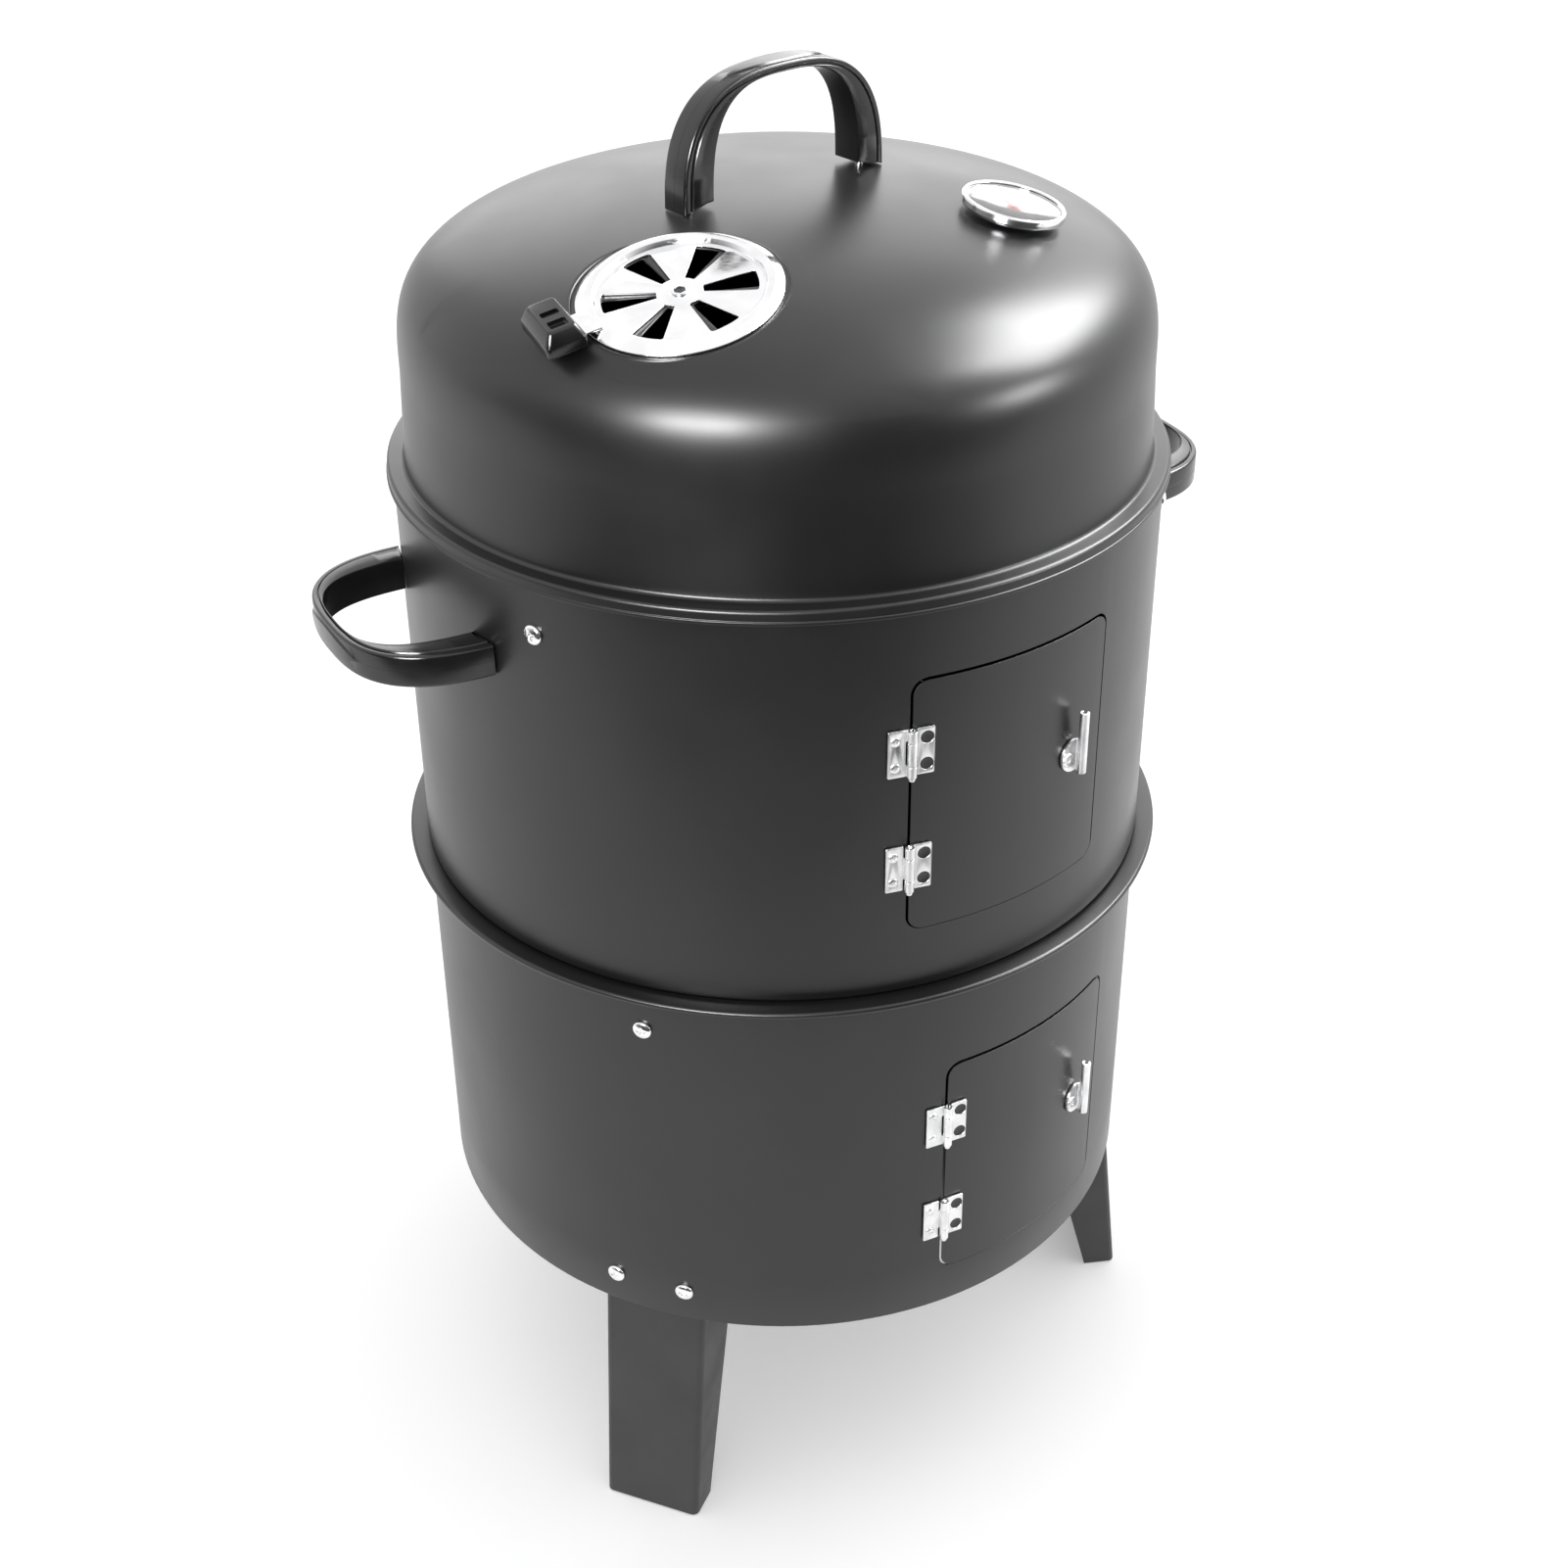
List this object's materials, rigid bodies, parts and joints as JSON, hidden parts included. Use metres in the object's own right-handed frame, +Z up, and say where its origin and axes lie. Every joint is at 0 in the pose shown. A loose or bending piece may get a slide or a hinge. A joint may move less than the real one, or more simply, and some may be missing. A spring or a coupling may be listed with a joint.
{
  "type": "vertical water smoker",
  "caption": "Upright round steel smoker: domed lid with vent and thermometer, stacked cooking and fire chambers with hinged doors, bowls and grates inside, splayed legs.",
  "frame": {"origin": "on the chambers' common axis, at floor level under the legs", "axes": "+Z up along the chambers' axis; -Y is the front, with the doors between the front and +X"},
  "size_m": [0.4698, 0.42, 0.7774],
  "materials": {
    "enamel": "satin black enamel",
    "leg_paint": "satin dark grey paint",
    "chrome": "polished chrome",
    "zinc": "bright zinc plated sheet",
    "wire": "plated steel wire",
    "handle_plastic": "glossy black moulding",
    "dial": "white printed dial",
    "glass": "clear",
    "pointer_red": "red paint"
  },
  "bodies": {
    "base": {"lower_chamber": "enamel", "front_leg": "leg_paint", "right_leg": "leg_paint", "rear_leg": "leg_paint", "front_leg_screw_a": "chrome", "front_leg_screw_b": "chrome", "right_leg_screw_a": "chrome", "right_leg_screw_b": "chrome", "rear_leg_screw_a": "chrome", "rear_leg_screw_b": "chrome", "front_charcoal_bracket": "zinc", "right_charcoal_bracket": "zinc", "rear_charcoal_bracket": "zinc", "front_lower_grate_bracket": "zinc", "right_lower_grate_bracket": "zinc", "rear_lower_grate_bracket": "zinc", "lower_hinge_top_frame_leaf_and_pin": "zinc", "lower_hinge_low_frame_leaf_and_pin": "zinc"},
    "lower_door": {"lower_door": "enamel", "lower_hinge_top_door_leaf": "zinc", "lower_hinge_low_door_leaf": "zinc"},
    "lower_latch": {"lower_latch_handle": "zinc", "lower_latch_rivet": "zinc", "lower_latch_tongue": "zinc"},
    "charcoal_bowl": {"charcoal_bowl": "enamel"},
    "charcoal_grate": {"charcoal_grate": "wire"},
    "water_bowl": {"water_bowl": "enamel"},
    "lower_cooking_grate": {"lower_cooking_grate": "wire"},
    "upper_chamber": {"upper_chamber": "enamel", "left_side_handle": "handle_plastic", "right_side_handle": "handle_plastic", "left_side_handle_screw_a": "chrome", "left_side_handle_screw_b": "chrome", "right_side_handle_screw_a": "chrome", "right_side_handle_screw_b": "chrome", "front_upper_grate_bracket": "zinc", "right_upper_grate_bracket": "zinc", "rear_upper_grate_bracket": "zinc", "upper_hinge_top_frame_leaf_and_pin": "zinc", "upper_hinge_low_frame_leaf_and_pin": "zinc"},
    "upper_door": {"upper_door": "enamel", "upper_hinge_top_door_leaf": "zinc", "upper_hinge_low_door_leaf": "zinc"},
    "upper_latch": {"upper_latch_handle": "zinc", "upper_latch_rivet": "zinc", "upper_latch_tongue": "zinc"},
    "upper_cooking_grate": {"upper_cooking_grate": "wire"},
    "lid": {"lid_shell": "enamel", "lid_handle": "handle_plastic", "lid_handle_screw_a": "chrome", "lid_handle_screw_b": "chrome", "vent_rivet": "chrome", "thermometer_case": "chrome", "thermometer_dial": "dial", "thermometer_glass": "glass", "thermometer_stem": "chrome", "thermometer_nut": "zinc"},
    "vent_damper": {"vent_damper": "chrome", "vent_damper_knob": "handle_plastic"},
    "thermometer_pointer": {"thermometer_pointer": "pointer_red"}
  },
  "joints": [
    {"name": "lower_door_hinge", "type": "hinge", "parent": "base", "child": "lower_door", "pos_m": [0.08552, -0.184, 0.2375], "axis": [0, 0, -1], "range_deg": [0, 130]},
    {"name": "lower_latch_turn", "type": "hinge", "parent": "lower_door", "child": "lower_latch", "pos_m": [0.15722, -0.12362, 0.236], "axis": [-0.7861, 0.6181, 0], "range_deg": [0, 90]},
    {"name": "charcoal_bowl_lift", "type": "slide", "parent": "base", "child": "charcoal_bowl", "axis": [0, 0, 1], "range_m": [0, 0.035]},
    {"name": "charcoal_grate_lift", "type": "slide", "parent": "charcoal_bowl", "child": "charcoal_grate", "axis": [0, 0, 1], "range_m": [0, 0.025]},
    {"name": "water_bowl_lift", "type": "slide", "parent": "base", "child": "water_bowl", "axis": [0, 0, 1], "range_m": [0, 0.015]},
    {"name": "lower_grate_lift", "type": "slide", "parent": "base", "child": "lower_cooking_grate", "axis": [0, 0, 1], "range_m": [0, 0.18]},
    {"name": "upper_chamber_lift", "type": "slide", "parent": "base", "child": "upper_chamber", "axis": [0, 0, 1], "range_m": [0, 0.3]},
    {"name": "upper_door_hinge", "type": "hinge", "parent": "upper_chamber", "child": "upper_door", "pos_m": [0.06145, -0.19337, 0.4708], "axis": [0, 0, -1], "range_deg": [0, 130]},
    {"name": "upper_latch_turn", "type": "hinge", "parent": "upper_door", "child": "upper_latch", "pos_m": [0.14023, -0.1426, 0.4693], "axis": [-0.7012, 0.713, 0], "range_deg": [0, 90]},
    {"name": "upper_grate_lift", "type": "slide", "parent": "upper_chamber", "child": "upper_cooking_grate", "axis": [0, 0, 1], "range_m": [0, 0.02]},
    {"name": "lid_lift", "type": "slide", "parent": "upper_chamber", "child": "lid", "axis": [0, 0, 1], "range_m": [0, 0.25]},
    {"name": "vent_damper_turn", "type": "hinge", "parent": "lid", "child": "vent_damper", "pos_m": [-0.04388, -0.11491, 0.6996], "axis": [-0.0953, -0.2497, 0.9636], "range_deg": [-100, 100]},
    {"name": "thermometer_pointer_turn", "type": "hinge", "parent": "lid", "child": "thermometer_pointer", "pos_m": [0.11376, -0.02418, 0.7067], "axis": [-0.1967, 0.0418, -0.9796], "range_deg": [0, 270]}
  ]
}
